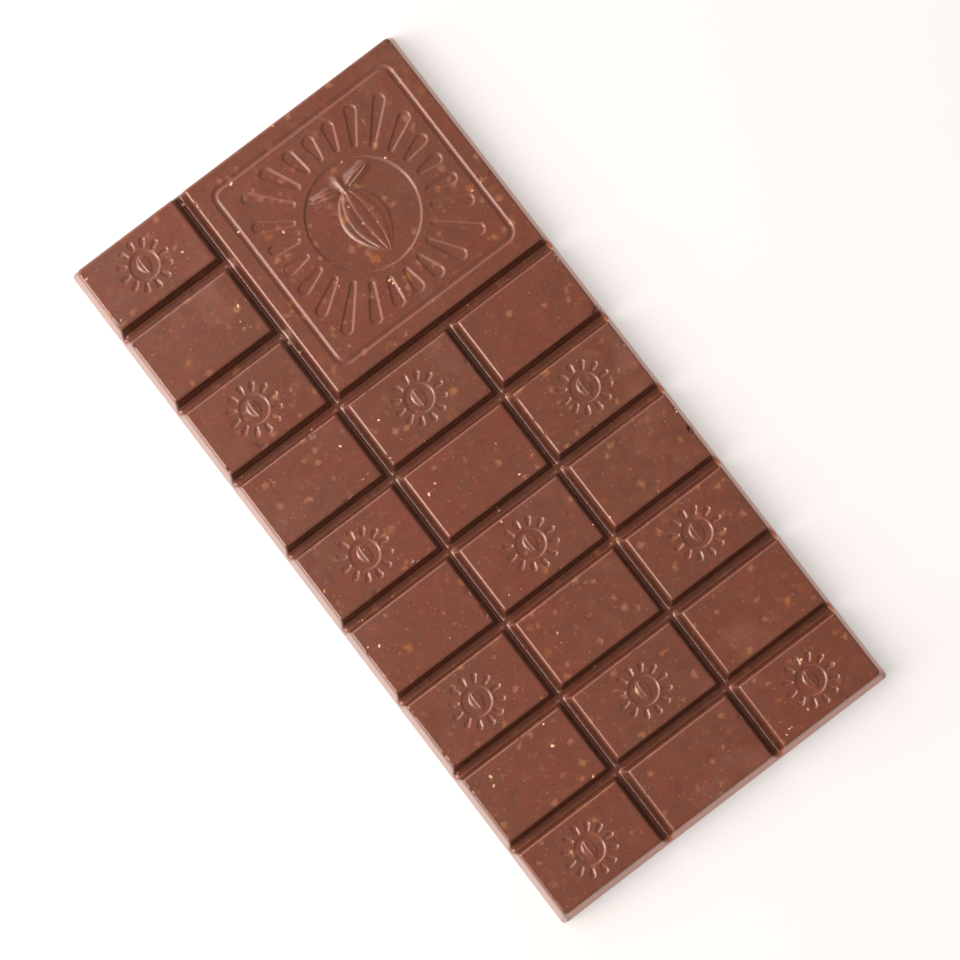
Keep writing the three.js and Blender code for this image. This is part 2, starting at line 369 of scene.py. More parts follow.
def joined(tree, x, y, z):
    """Three numbers as a vector."""
    return node_field(tree, "ShaderNodeCombineXYZ", {0: x, 1: y, 2: z})


def scaled(tree, vector, factor):
    inputs = {0: vector, "Scale": factor}
    return node_field(tree, "ShaderNodeVectorMath", inputs, operation="SCALE")


def read_field(tree, name):
    """The number that the mesh holds at each point under the name."""
    return node_field(tree, "GeometryNodeInputNamedAttribute", {"Name": name}, "Attribute")


def noise_field(tree, position, scale, detail, seed):
    """Soft noise from 0 to 1, fixed by its seed."""
    inputs = {"Vector": position, "W": seed, "Scale": scale, "Detail": detail}
    return node_field(tree, "ShaderNodeTexNoise", inputs, noise_dimensions="4D")


def random_value(tree, seed, low, high):
    """A fixed random number for each point. A Random Value node's sockets for plain numbers
    are its inputs 2 and 3 and its output 1."""
    inputs = {2: low, 3: high, "Seed": seed}
    return node_field(tree, "FunctionNodeRandomValue", inputs, 1, data_type="FLOAT")


class GeometryTree:
    """A Geometry Nodes tree with named inputs, built once and run on one object."""

    def __init__(self, name, group, material, more=(), left_out=()):
        """The inputs are the group's numbers, by their labels, the material and any more."""
        self.tree = bpy.data.node_groups.new(name, "GeometryNodeTree")
        new_socket = self.tree.interface.new_socket
        for way in ("INPUT", "OUTPUT"):
            new_socket("Geometry", in_out=way, socket_type="NodeSocketGeometry")
        inputs = {kind.name: getattr(group, kind.identifier) for kind in number_properties(group)}
        inputs.update(more)
        for label in left_out:
            del inputs[label]
        kinds = {float: "NodeSocketFloat", int: "NodeSocketInt"}
        self.values = {}
        for label, value in inputs.items():
            socket = new_socket(label, in_out="INPUT", socket_type=kinds[type(value)])
            self.values[socket.identifier] = value
        socket = new_socket("Material", in_out="INPUT", socket_type="NodeSocketMaterial")
        self.values[socket.identifier] = material
        self.entry = self.tree.nodes.new("NodeGroupInput")

    def field(self, name):
        return Field(self.tree, self.entry.outputs[name])

    def shape(self, kind, geometry, inputs=(), **settings):
        """The geometry that a new node makes of the geometry it is given."""
        return node_field(self.tree, kind, {0: geometry, **dict(inputs)}, **settings)

    def finish(self, geometry, sharp=None):
        """Ends the tree: real geometry, smooth but for its sharp edges, with its material."""
        geometry = self.shape("GeometryNodeRealizeInstances", geometry)
        geometry = self.shape("GeometryNodeSetShadeSmooth", geometry)
        if sharp is not None:
            inputs = {"Selection": sharp, "Shade Smooth": False}
            geometry = self.shape("GeometryNodeSetShadeSmooth", geometry, inputs, domain="EDGE")
        inputs = {"Material": self.entry.outputs["Material"]}
        geometry = self.shape("GeometryNodeSetMaterial", geometry, inputs)
        add_node(self.tree, "NodeGroupOutput", {0: geometry})

    def run(self, source):
        """The plain mesh that the tree makes of the source object."""
        modifier = source.modifiers.new(self.tree.name, "NODES")
        modifier.node_group = self.tree
        for identifier, value in self.values.items():
            modifier[identifier] = value
        bpy.context.view_layer.update()
        seen = source.evaluated_get(bpy.context.evaluated_depsgraph_get())
        mesh = bpy.data.meshes.new_from_object(seen)
        source.modifiers.remove(modifier)
        return mesh


# The plan: points and lines, in millimetres


class Plan:
    """Points and lines of the flat sheet that is raised into the bar."""

    def __init__(self):
        self.points = []
        self.edges = []
        self.known = {}

    def point(self, x, y):
        """The number of the point there, which is added if it is new."""
        key = (round(x / SMALLEST_GAP), round(y / SMALLEST_GAP))
        if key not in self.known:
            self.known[key] = len(self.points)
            self.points.append((x, y))
        return self.known[key]

    def line(self, points, closed=False):
        """A line through the points."""
        numbers = [self.point(x, y) for x, y in points]
        if closed:
            numbers.append(numbers[0])
        self.edges += [(a, b) for a, b in zip(numbers, numbers[1:]) if a != b]

    def triangles(self):
        """The sheet's corners, its triangles, each counterclockwise, and for each corner the
        number of the point that it was drawn as, or -1."""
        flat = [Vector(p) for p in self.points]
        made = delaunay_2d_cdt(flat, self.edges, [], 0, SMALLEST_GAP / 10, True)
        corners = np.array([tuple(v) for v in made[0]])
        origins = [min(drawn) if drawn else -1 for drawn in made[3]]
        return corners, np.array(made[2]), origins


def round_stations(slope, radius, steps=ROUNDING_STEPS):
    """Where lines cross a rounding, from the corner: negative on the slope, positive on the flat."""
    turn = math.atan(slope)
    reach = radius * (math.hypot(1.0, slope) - 1.0) / slope
    return [reach - radius * math.sin(turn * (1 - i / steps)) for i in range(steps + 1)]


def groove_offsets(bar):
    """The lines along one side of a groove, from its middle out to the flat of the tile."""
    run = (bar.groove_top - bar.groove_floor) / 2
    slope = bar.groove_depth / run
    stations = round_stations(slope, bar.floor_round, FLOOR_STEPS)
    foot = [bar.groove_floor / 2 - s for s in reversed(stations)]
    shoulder = [bar.groove_top / 2 + s for s in round_stations(slope, bar.edge_round)]
    return [0.0, *foot, (foot[-1] + shoulder[0]) / 2, *shoulder, shoulder[-1] + PAST_ROUNDING]


def wall_insets(bar):
    """The lines round the bar, from its base in to the flat of the tiles."""
    slope = bar.thickness / bar.wall_lean
    rim = [bar.wall_lean + s for s in round_stations(slope, bar.edge_round)]
    notch = (bar.thickness - bar.groove_depth) / slope
    return [0.0, notch / 2, notch, (notch + rim[0]) / 2, *rim, rim[-1] + PAST_ROUNDING]


def groove_lines(count, pitch):
    return [(i + 1 - count / 2) * pitch for i in range(count - 1)]


def steps_between(a, b, parts):
    return [a + (b - a) * i / parts for i in range(parts)]


def spread(marks, spacing):
    """The marks in order, with more put between them so that none are further apart."""
    marks = sorted(set(round(m, 6) for m in marks))
    full = []
    for a, b in zip(marks, marks[1:]):
        full += steps_between(a, b, max(1, math.ceil((b - a) / spacing)))
    return full + [marks[-1]]


def divided(points, spacing):
    """A closed loop with points added where two lie further apart than the spacing."""
    full = []
    for (x0, y0), (x1, y1) in zip(points, points[1:] + points[:1]):
        parts = max(1, math.ceil(math.hypot(x1 - x0, y1 - y0) / spacing))
        full += zip(steps_between(x0, x1, parts), steps_between(y0, y1, parts))
    return full


def on_circle(middle, radius, angles):
    """The points at those angles on a circle round the middle."""
    x, y = middle
    return [(x + radius * math.cos(a), y + radius * math.sin(a)) for a in angles]


def turned(points, angle):
    """The points turned round the origin."""
    c, s = math.cos(angle), math.sin(angle)
    return [(x * c - y * s, x * s + y * c) for x, y in points]


def rounded_square(width, radius, spacing, steps=6):
    """The points of a square with round corners, counterclockwise round the origin."""
    points = []
    middle = width / 2 - radius
    for quarter, (sx, sy) in enumerate(((1, 1), (-1, 1), (-1, -1), (1, -1))):
        angles = [(quarter + i / steps) * math.pi / 2 for i in range(steps + 1)]
        points += on_circle((sx * middle, sy * middle), radius, angles)
    return divided(points, spacing)


class BarLayout:
    """Where the grooves, tiles and stamps lie, worked out from the bar's sizes."""

    def __init__(self, bar):
        self.bar = bar
        self.lines_x = groove_lines(COLUMNS, bar.pitch_x)
        self.lines_y = groove_lines(ROWS, bar.pitch_y)
        self.panel_left = self.lines_x[COLUMNS - PANEL_COLUMNS - 1]
        self.panel_front = self.lines_y[ROWS - PANEL_ROWS - 1]
        self.offsets = groove_offsets(bar)
        self.insets = wall_insets(bar)

    def tile_boxes(self):
        """Each tile's flat top as (low x, low y, high x, high y), and the panel's last."""
        out = self.offsets[-1]
        edge_x = self.bar.width / 2 - self.insets[-1]
        edge_y = self.bar.length / 2 - self.insets[-1]
        spans = []
        for edge, lines in ((edge_x, self.lines_x), (edge_y, self.lines_y)):
            lows = [-edge, *[line + out for line in lines]]
            highs = [*[line - out for line in lines], edge]
            spans.append(list(zip(lows, highs)))
        boxes = [(x0, y0, x1, y1) for (x0, x1), (y0, y1) in product(*spans)]
        boxes = [box for box in boxes if box[0] < self.panel_left or box[1] < self.panel_front]
        return [*boxes, (self.panel_left + out, self.panel_front + out, edge_x, edge_y)]

    def panel_centre(self):
        bar = self.bar
        left = self.panel_left + bar.groove_top / 2
        front = self.panel_front + bar.groove_top / 2
        right = bar.width / 2 - bar.wall_lean
        back = bar.length / 2 - bar.wall_lean
        return (left + right) / 2, (front + back) / 2

    def stamped_tiles(self):
        """The centres of the small tiles that carry a stamp: every other one."""
        places = []
        for row, column in product(range(ROWS), range(COLUMNS)):
            in_panel = column >= COLUMNS - PANEL_COLUMNS and row < PANEL_ROWS
            if (column + row) % 2 == 0 and not in_panel:
                x = (column - (COLUMNS - 1) / 2) * self.bar.pitch_x
                y = ((ROWS - 1) / 2 - row) * self.bar.pitch_y
                places.append((x, y))
        return places

    def draw(self, plan, spacing):
        """The lines of the outer wall and of every groove."""
        bar = self.bar
        sides = [s * o for o in self.offsets for s in (-1, 1)]
        marks = []
        for lines, size in ((self.lines_x, bar.width), (self.lines_y, bar.length)):
            places = [line + side for line in lines for side in sides]
            places += [s * (size / 2 - i) for i in self.insets for s in (-1, 1)]
            marks.append(spread(places, spacing))
        marks_x, marks_y = marks
        self._draw_walls(plan, marks_x, marks_y)
        for line, side in product(self.lines_x, sorted(set(sides))):
            end = self.panel_front if line > self.panel_left else bar.length / 2
            plan.line([(line + side, y) for y in marks_y if y <= end + SMALLEST_GAP])
        for line, side in product(self.lines_y, sorted(set(sides))):
            end = self.panel_left if line > self.panel_front else bar.width / 2
            plan.line([(x, line + side) for x in marks_x if x <= end + SMALLEST_GAP])
        self._draw_mitres(plan)
        self._draw_notches(plan)

    def _draw_walls(self, plan, marks_x, marks_y):
        bar = self.bar
        radius = bar.outer_corner
        turn = [math.pi / 2 * i / ROUNDING_STEPS for i in range(ROUNDING_STEPS + 1)]
        for inset in self.insets:
            half_x, half_y = bar.width / 2 - inset, bar.length / 2 - inset
            straight_x = [x for x in marks_x if abs(x) < half_x - radius - SMALLEST_GAP]
            straight_y = [y for y in marks_y if abs(y) < half_y - radius - SMALLEST_GAP]
            corner = on_circle((half_x - radius, half_y - radius), radius, turn)
            for side in (-1, 1):
                plan.line([(side * half_x, y) for y in straight_y])
                plan.line([(x, side * half_y) for x in straight_x])
                for end in (-1, 1):
                    arc = [(side * x, end * y) for x, y in corner]
                    first_y = straight_y[-1] if end > 0 else straight_y[0]
                    last_x = straight_x[-1] if side > 0 else straight_x[0]
                    plan.line([(side * half_x, first_y), *arc, (last_x, end * half_y)])

    def _draw_mitres(self, plan):
        """Lines from each crossing of two grooves out to the corners of the tiles round it."""
        for x, y, sx, sy in product(self.lines_x, self.lines_y, (-1, 1), (-1, 1)):
            in_panel = x + sx > self.panel_left and y + sy > self.panel_front
            at_corner = x == self.panel_left and y == self.panel_front
            if at_corner or not in_panel:
                plan.line([(x + sx * o, y + sy * o) for o in self.offsets])

    def _draw_notches(self, plan):
        """Lines up the edges between the outer wall and the groove walls that end in it."""
        bar = self.bar
        groove_run = (bar.groove_top - bar.groove_floor) / 2
        ridge = []
        for i in range(ROUNDING_STEPS + 1):
            up = 1 - bar.groove_depth / bar.thickness * (1 - i / ROUNDING_STEPS)
            across = bar.groove_floor / 2 + groove_run * i / ROUNDING_STEPS
            ridge.append((across, bar.wall_lean * up))
        ridge.append((self.offsets[-1], self.insets[-1]))
        for side in (-1, 1):
            for line in self.lines_x:
                for end in (-1,) if line > self.panel_left + SMALLEST_GAP else (-1, 1):
                    plan.line([(line + side * o, end * (bar.length / 2 - i)) for o, i in ridge])
            for line in self.lines_y:
                for end in (-1,) if line > self.panel_front + SMALLEST_GAP else (-1, 1):
                    plan.line([(end * (bar.width / 2 - i), line + side * o) for o, i in ridge])


# The stamps, in millimetres


class Stamp:
    """One stamp at its place: where its lines run, and how deep it is at any point."""

    def __init__(self, sizes, centre, fineness):
        self.sizes = sizes
        self.centre = np.array(centre)
        self.fineness = fineness
        self.foot = sizes.pod_lift + sizes.pod_length / 2  # where the stalk meets the pod

    def _ray_ends(self, number):
        """The middle of the small and of the large round end of a ray, and their radii."""
        s = self.sizes
        angle = 2 * math.pi * number / s.rays
        power = s.ray_squareness
        limit = (abs(math.cos(angle)) ** power + abs(math.sin(angle)) ** power) ** (-1 / power)
        inner, outer = s.ray_inner / 2, s.ray_outer / 2
        return s.ray_start + inner, s.ray_reach * limit - outer, inner, outer

    def _ray_loop(self, number, grow, steps=6):
        """The outline of a ray, made wider by grow on every side."""
        start, end, inner, outer = self._ray_ends(number)
        lean = math.asin((outer - inner) / (end - start))
        points = []
        for middle, radius, first, last in (
            (end, outer + grow, -math.pi / 2 - lean, math.pi / 2 + lean),
            (start, inner + grow, math.pi / 2 + lean, 3 * math.pi / 2 - lean),
        ):
            angles = [first + (last - first) * i / steps for i in range(steps + 1)]
            points += on_circle((middle, 0.0), radius, angles)
        return turned(points, 2 * math.pi * number / self.sizes.rays)

    def _inside_rays(self, p):
        """How far inside the nearest ray each point lies."""
        s = self.sizes
        step = 2 * math.pi / s.rays
        angle = np.arctan2(p[:, 1], p[:, 0])
        number = np.round(angle / step).astype(int) % s.rays
        reach = np.hypot(p[:, 0], p[:, 1])
        off = angle - np.round(angle / step) * step
        ends = np.array([self._ray_ends(i) for i in range(s.rays)])[number]
        start, end, inner, outer = ends.T
        along, across = reach * np.cos(off) - start, np.abs(reach * np.sin(off))
        lean = (inner - outer) / (end - start)
        upright = np.sqrt(1 - lean**2)
        share = across * -lean + along * upright
        flank = across * upright + along * lean - inner
        near = np.hypot(across, along) - inner
        far = np.hypot(across, along - (end - start)) - outer
        return -np.where(share < 0, near, np.where(share > upright * (end - start), far, flank))

    def _inside_border(self, p):
        s = self.sizes
        half = (s.border - s.border_width) / 2
        radius = s.border_corner - s.border_width / 2
        q = np.abs(p) - (half - radius)
        outside = np.hypot(*np.maximum(q, 0).T) + np.minimum(q.max(axis=1), 0) - radius
        return s.border_width / 2 - np.abs(outside)

    def _pod_half_width(self, t):
        round_body = np.sin(math.pi * np.clip(t, 0, 1) ** POD_SHIFT)
        return self.sizes.pod_width / 2 * np.maximum(round_body, 1e-4) ** POD_FULLNESS

    def _pod_height(self, p):
        """The pod's own relief above the disc, from 0 to 1: a low dome with ridges."""
        s = self.sizes
        blunt_stalk_end, blunt_tip = 0.10, 0.16
        ridge_depth = 0.35
        t = 0.5 - (p[:, 1] - s.pod_lift) / s.pod_length
        across = p[:, 0] / self._pod_half_width(t)
        inside = (np.abs(across) < 1) & (t > 0) & (t < 1)
        across = np.clip(across, -1, 1)
        dome = (1 - np.abs(across) ** 2.4) ** 0.5
        ends = np.clip(np.minimum(t / blunt_stalk_end, (1 - t) / blunt_tip), 0, 1) ** 0.5
        seen = np.arcsin(across * math.sin(POD_TURN)) / POD_TURN
        ridges = np.abs(np.cos(math.pi * s.pod_ridges * (seen + 1) / 2 + math.pi / 2)) ** 0.55
        return np.where(inside, dome * ends * (1 - ridge_depth + ridge_depth * ridges), 0.0)

    def _stalk_and_leaves(self, p):
        """The relief of the stalk and the two leaves, from 0 to 1."""
        s = self.sizes
        if s.stalk_length <= 0:
            return np.zeros(len(p))
        sunk = 0.6  # how far the stalk starts inside the pod
        up = np.clip((p[:, 1] - self.foot + sunk) / (s.stalk_length + sunk), 0, 1)
        gap = np.hypot(p[:, 0], p[:, 1] - (self.foot - sunk + up * (s.stalk_length + 0.2)))
        half = s.stalk_width / 2 * (0.8 + 0.4 * up)
        stalk = np.clip(1.4 - gap / half * 1.1, 0, 1)
        x, y = np.abs(p[:, 0]), p[:, 1] - self.foot
        along = (x * math.cos(LEAF_LIFT) + y * math.sin(LEAF_LIFT) - LEAF_START) / s.leaf_length
        across = -x * math.sin(LEAF_LIFT) + y * math.cos(LEAF_LIFT)
        shape = np.sin(math.pi * np.clip(along, 0, 1) ** LEAF_SHIFT)
        half = np.maximum(s.leaf_width / 2 * shape, 1e-4)
        share = np.clip(np.abs(across) / half, 0, 1)
        blade = np.where((along > 0) & (along < 1), (1 - share**3) * np.minimum(1, half / 0.4), 0)
        vein = np.clip(np.abs(across) / 0.22, 0.35, 1)
        return np.maximum(stalk, 0.9 * blade * vein)

    def relief(self, points):
        """How far the surface lies below the tile top at each point: 0 or less."""
        s = self.sizes
        p = points - self.centre
        inside = np.maximum(self._inside_rays(p), s.disc_radius - np.hypot(*p.T))
        if s.border > 0:
            inside = np.maximum(inside, self._inside_border(p))
        share = np.clip((inside + s.wall) / (2 * s.wall), 0, 1)
        sunk = share * share * (3 - 2 * share)
        raised = np.maximum(self._pod_height(p), self._stalk_and_leaves(p))
        return -s.depth * sunk * (1 - POD_HEIGHT * raised)

    def draw(self, plan):
        """The lines that the stamp's walls and its pod need."""
        s = self.sizes
        spacing = self.fineness.spacing
        border_spacing = 1.6 * spacing
        for grow in [s.wall * share for share in self.fineness.walls]:
            for number in range(s.rays):
                self._line(plan, divided(self._ray_loop(number, grow), spacing))
            radius = s.disc_radius + grow
            count = math.ceil(2 * math.pi * radius / spacing)
            angles = [2 * math.pi * i / count for i in range(count)]
            self._line(plan, on_circle((0.0, 0.0), radius, angles))
            if s.border > 0:
                for cut, out in ((0.0, grow), (s.border_width, -grow)):
                    width = s.border - 2 * cut + 2 * out
                    radius = s.border_corner - cut + out
                    self._line(plan, rounded_square(width, radius, border_spacing))
        self._draw_pod(plan)
        if s.stalk_length > 0:
            self._draw_leaves(plan)

    def _line(self, plan, points, closed=True):
        cx, cy = self.centre
        plan.line([(x + cx, y + cy) for x, y in points], closed)

    def _draw_pod(self, plan):
        """A net of lines along the pod's ridges and valleys, and loops just outside it."""
        s = self.sizes
        steps = s.pod_ridges * self.fineness.per_ridge
        seen = [2 * i / steps - 1 for i in range(1, steps)]
        across = [math.sin(POD_TURN * a) / math.sin(POD_TURN) for a in seen]
        rows = self.fineness.pod_rows
        heights = [0.5 - 0.5 * math.cos(math.pi * (i + 0.5) / rows) for i in range(rows)]
        halves = [float(self._pod_half_width(t)) for t in heights]

        def along(share, out):
            """Points down the pod, at a share of its half width and that far out."""
            ys = [(s.pod_length + out) * (0.5 - t) + s.pod_lift for t in heights]
            return [(share * half + out, y) for half, y in zip(halves, ys)]

        for share in (-1.0, -0.97, *across, 0.97, 1.0):
            self._line(plan, along(share, 0.0), closed=False)
        for out in (0.5 * s.wall, 1.5 * s.wall):
            side = along(1.0, out)
            self._line(plan, side + [(-x, y) for x, y in reversed(side)])

    def _draw_leaves(self, plan, steps=14):
        """A net of lines over both leaves, and a few along the stalk."""
        s = self.sizes
        for side, share in product((-1, 1), (-1, -0.85, -0.5, -0.2, 0, 0.2, 0.5, 0.85, 1)):
            vein = []
            for t in [i / steps for i in range(1, steps)]:
                across = share * s.leaf_width / 2 * math.sin(math.pi * t**LEAF_SHIFT)
                vein.append((LEAF_START + t * s.leaf_length, across))
            line = [(side * x, y + self.foot) for x, y in turned(vein, LEAF_LIFT)]
            self._line(plan, line, closed=False)
        for width, side in product((0.0, 0.3, 0.55), (-1, 1)):
            rise = s.stalk_length
            line = [(side * width * (0.8 + 0.08 * i), self.foot + rise * i / 8) for i in range(9)]
            self._line(plan, line, closed=False)


# How closely each stamp is drawn: where lines run along its walls, as shares of their half run,
# the spacing of points in mm, the lines to each of the pod's ridges and the rows along it
PANEL_FINENESS = SimpleNamespace(
    walls=(-1.6, -1.0, -0.6, -0.2, 0.2, 0.6, 1.0, 1.6), spacing=0.5, per_ridge=6, pod_rows=34
)
TILE_FINENESS = SimpleNamespace(
    walls=(-1.5, -1.0, -0.35, 0.35, 1.0, 1.6), spacing=0.4, per_ridge=4, pod_rows=14
)


# Flaws, in millimetres


class Flaw:
    """A round dent in the surface: a burst bubble, a chip at an edge or a scrape."""

    def __init__(self, x, y, radius, depth, sharpness=2.0, stretch=1.0, turn=0.0):
        self.place = np.array((x, y))
        self.radius = radius
        self.depth = depth
        self.sharpness = sharpness
        self.stretch = stretch
        self.turn = turn

    def relief(self, points):
        x, y = (points - self.place).T
        c, s = math.cos(self.turn), math.sin(self.turn)
        share = np.hypot((x * c + y * s) / self.stretch, -x * s + y * c) / self.radius
        return -self.depth * np.clip(1 - share**self.sharpness, 0, 1) ** 0.5

    def draw(self, plan):
        """Rings of points, so that the dent has a round edge."""
        for share, count in ((0.3, 6), (0.6, 10), (0.85, 14), (0.97, 16), (1.03, 16)):
            angles = [2 * math.pi * (i + share) / count for i in range(count)]
            reach_x, reach_y = self.radius * share * self.stretch, self.radius * share
            ring = [(reach_x * math.cos(a), reach_y * math.sin(a)) for a in angles]
            for x, y in turned(ring, self.turn):
                plan.point(self.place[0] + x, self.place[1] + y)


def known_flaws(bar):
    """The flaws that the photograph shows: two burst bubbles and a few chipped edges."""
    rim = bar.width / 2 - bar.wall_lean
    return [
        Flaw(rim - 0.35, 10.3, 0.75, 0.85, 3.0),
        Flaw(rim - 0.15, -18.6, 0.6, 0.7, 3.0),
        Flaw(-rim - 0.1, 62.9, 0.8, 0.35, 1.6, 1.5, 1.3),
        Flaw(-rim - 0.2, -43.0, 0.5, 0.25, 1.6, 1.8, 1.5),
        Flaw(rim + 0.1, 27.5, 0.6, 0.35, 1.6, 1.4, 1.6),
        Flaw(rim + 0.1, -61.5, 0.5, 0.3, 1.6, 1.4, 1.6),
    ]


def chance_flaws(layout, seed, count=46):
    """Small nicks along the tiles' edges and pinholes in their tops."""
    draw = np.random.default_rng(seed)
    boxes = layout.tile_boxes()
    past_flat = 0.25  # mm from the flat's end to the middle of the rounded edge
    lengthwise = 0.55  # share of the nicks on edges along the bar
    flaws = []
    for _ in range(count):
        x0, y0, x1, y1 = boxes[draw.integers(len(boxes))]
        if draw.random() < lengthwise:
            x = x0 - past_flat if draw.random() < 0.5 else x1 + past_flat
            y = draw.uniform(y0, y1)
            turn = math.pi / 2
        else:
            x = draw.uniform(x0, x1)
            y = y0 - past_flat if draw.random() < 0.5 else y1 + past_flat
            turn = 0.0
        radius = draw.uniform(0.15, 0.34)
        depth = draw.uniform(0.08, 0.2)
        flaws.append(Flaw(x, y, radius, depth, 1.5, draw.uniform(1.2, 2.4), turn))
    for _ in range(count // 2):
        x0, y0, x1, y1 = boxes[draw.integers(len(boxes))]
        place = draw.uniform((x0, y0), (x1, y1))
        flaws.append(Flaw(*place, draw.uniform(0.09, 0.2), draw.uniform(0.08, 0.16), 2.5))
    return flaws


# The flat sheet and the tree that raises it


def scatter_points(plan, layout, spacing, keep_clear, seed):
    """Loose points over the flats, so that they can wave a little."""
    draw = np.random.default_rng(seed)
    margin = 0.45 * spacing
    row_gap = spacing * 0.866
    for x0, y0, x1, y1 in layout.tile_boxes():
        width, length = x1 - x0 - 2 * margin, y1 - y0 - 2 * margin
        columns, rows = max(1, round(width / spacing)), max(1, round(length / row_gap))
        for j, i in product(range(rows + 1), range(columns + 1)):
            shift = 0.25 if j % 2 else -0.25
            x = x0 + margin + width * np.clip((i + shift) / columns, 0, 1)
            y = y0 + margin + length * j / rows
            x, y = np.array((x, y)) + draw.uniform(-0.12, 0.12, 2) * spacing
            if not any(math.hypot(x - cx, y - cy) < r for cx, cy, r in keep_clear):
                plan.point(float(x), float(y))


def outline_loop(faces):
    """The corners along the sheet's edge, in order."""
    sides = np.concatenate([faces[:, [0, 1]], faces[:, [1, 2]], faces[:, [2, 0]]])
    one_way = {(a, b) for a, b in sides.tolist()}
    follow = {a: b for a, b in one_way if (b, a) not in one_way}
    loop = [next(iter(follow))]
    while follow[loop[-1]] != loop[0]:
        loop.append(follow[loop[-1]])
    return loop


def underside(rim, bar, spacing, margin=1.2):
    """The flat back of the bar, on the same rim as the moulded face."""
    plan = Plan()
    plan.line(rim, closed=True)
    reaches = (bar.width / 2 - margin, bar.length / 2 - margin)
    grid = [np.linspace(-reach, reach, round(2 * reach / spacing)) for reach in reaches]
    for x, y in product(*grid):
        plan.point(float(x), float(y))
    return plan.triangles()


def hollows(points, bar):
    """How far the back rises off the floor: the slow dips of chocolate that has set."""
    x, y = points.T
    to_edge = np.minimum(bar.width / 2 - np.abs(x), bar.length / 2 - np.abs(y))
    slow = np.sin(x / 11 + 1.3) * np.cos(y / 17 - 0.4)
    quick = np.sin(x / 4.1 + y / 6.3) * np.sin(y / 5.2 - x / 9.7)
    return bar.hollows * np.clip(to_edge / 8, 0, 1) * (0.5 + 0.35 * slow + 0.15 * quick)


def crumb_places(layout, points):
    """How thick the crumbs lie: a few all over, more by the grooves, most in the clusters."""
    x, y = points.T
    gap_x = np.min([np.abs(x - line) for line in layout.lines_x], axis=0)
    gap_y = np.min([np.abs(y - line) for line in layout.lines_y], axis=0)
    edge_reach = 1.9
    by_edge = np.exp(-((np.minimum(gap_x, gap_y) / edge_reach) ** 2))
    patchy = np.sin(x / 6.1 + 2.0) * np.sin(y / 8.3 + x / 13.0) + 0.4 * np.sin(x / 2.3 - y / 3.1)
    thick = 0.006 + 0.04 * by_edge + 0.05 * np.clip(patchy, 0, 1) ** 3
    for place, radius, share in CRUMB_CLUSTERS:
        far = np.hypot(*(points - place).T)
        thick = np.maximum(thick, CLUSTER_THICKNESS * share * np.exp(-((far / radius) ** 2)))
    return thick


def flat_sheet(bar, panel, tile):
    """The bar's whole skin laid flat: its moulded face and its back, closed along the rim.

    Attributes say what the trees can't work out: how deep the stamps and flaws are, which
    points belong to the moulded face, and how thick the crumbs lie."""
    layout = BarLayout(bar)
    stamps = [Stamp(panel, layout.panel_centre(), PANEL_FINENESS)]
    stamps += [Stamp(tile, place, TILE_FINENESS) for place in layout.stamped_tiles()]
    flaws = known_flaws(bar) + chance_flaws(layout, bar.seed)
    plan = Plan()
    layout.draw(plan, LINE_SPACING)
    for drawn in stamps + flaws:
        drawn.draw(plan)
    stamp_margin, flaw_margin = 0.5, 1.3
    clear = [(*place, tile.ray_reach + stamp_margin) for place in layout.stamped_tiles()]
    clear += [(*flaw.place, flaw_margin * flaw.radius * flaw.stretch) for flaw in flaws]
    scatter_points(plan, layout, FLAT_SPACING, clear, bar.seed)

    top, top_faces, _ = plan.triangles()
    loop = outline_loop(top_faces)
    back, back_faces, drawn_as = underside([tuple(top[i]) for i in loop], bar, BACK_SPACING)
    inner = [i for i, drawn in enumerate(drawn_as) if not 0 <= drawn < len(loop)]
    number = np.array([loop[i] if 0 <= i < len(loop) else 0 for i in drawn_as])
    number[inner] = len(top) + np.arange(len(inner))
    corners = np.concatenate([top, back[inner]])
    faces = np.concatenate([top_faces, number[back_faces[:, ::-1]]])

    relief = np.zeros(len(corners))
    for stamp in stamps:
        # A little past the border or the longest rays
        reach = max(0.56 * stamp.sizes.border, 1.2 * stamp.sizes.ray_reach)
        near = np.flatnonzero(np.abs(top - stamp.centre).max(axis=1) < reach)
        relief[near] += stamp.relief(top[near])
    for flaw in flaws:
        relief[: len(top)] += flaw.relief(top)
    relief[loop] = 0.0
    relief[len(top) :] = hollows(back[inner], bar)
    raised = np.zeros(len(corners))
    raised[: len(top)] = 1.0
    raised[loop] = 0.0
    crumbs = raised * crumb_places(layout, corners)
    layers = {"relief": relief * MM, "raised": raised, "crumb_places": crumbs}
    return sheet_mesh(corners, faces, layers)


def sheet_mesh(corners, faces, layers):
    """The flat sheet as a mesh in metres, with a number for each layer at each corner."""
    mesh = bpy.data.meshes.new("flat_sheet")
    places = np.zeros((len(corners), 3))
    places[:, :2] = corners * MM
    mesh.from_pydata(places.tolist(), [], faces.tolist())
    for name, values in layers.items():
        layer = mesh.attributes.new(name, "FLOAT", "POINT")
        layer.data.foreach_set("value", values.astype(np.float32))
    return mesh


def meet(level_a, level_b, radius):
    """The lower of two sloped levels, with the edge between them rounded."""
    apart = abs(level_a - level_b)
    inner = (radius * radius * 0.5 - apart * apart * 0.25).most(0.0).root()
    rounded = (level_a + level_b) * 0.5 - radius + inner
    plain = level_a.least(level_b)
    return plain + (rounded - plain) * (apart < radius)


def rounded_top(level, top, slope, radius):
    """The lower of a sloped level and a flat top, with an arc of the radius between them."""
    hypotenuse = (slope * slope + 1.0).root()
    reach = radius * (hypotenuse - 1.0) / slope
    into = ((level - top) / slope).within(-(reach / hypotenuse), reach)
    drop = reach - into
    arc = top - radius + (radius * radius - drop * drop).most(0.0).root()
    return level.least(arc)


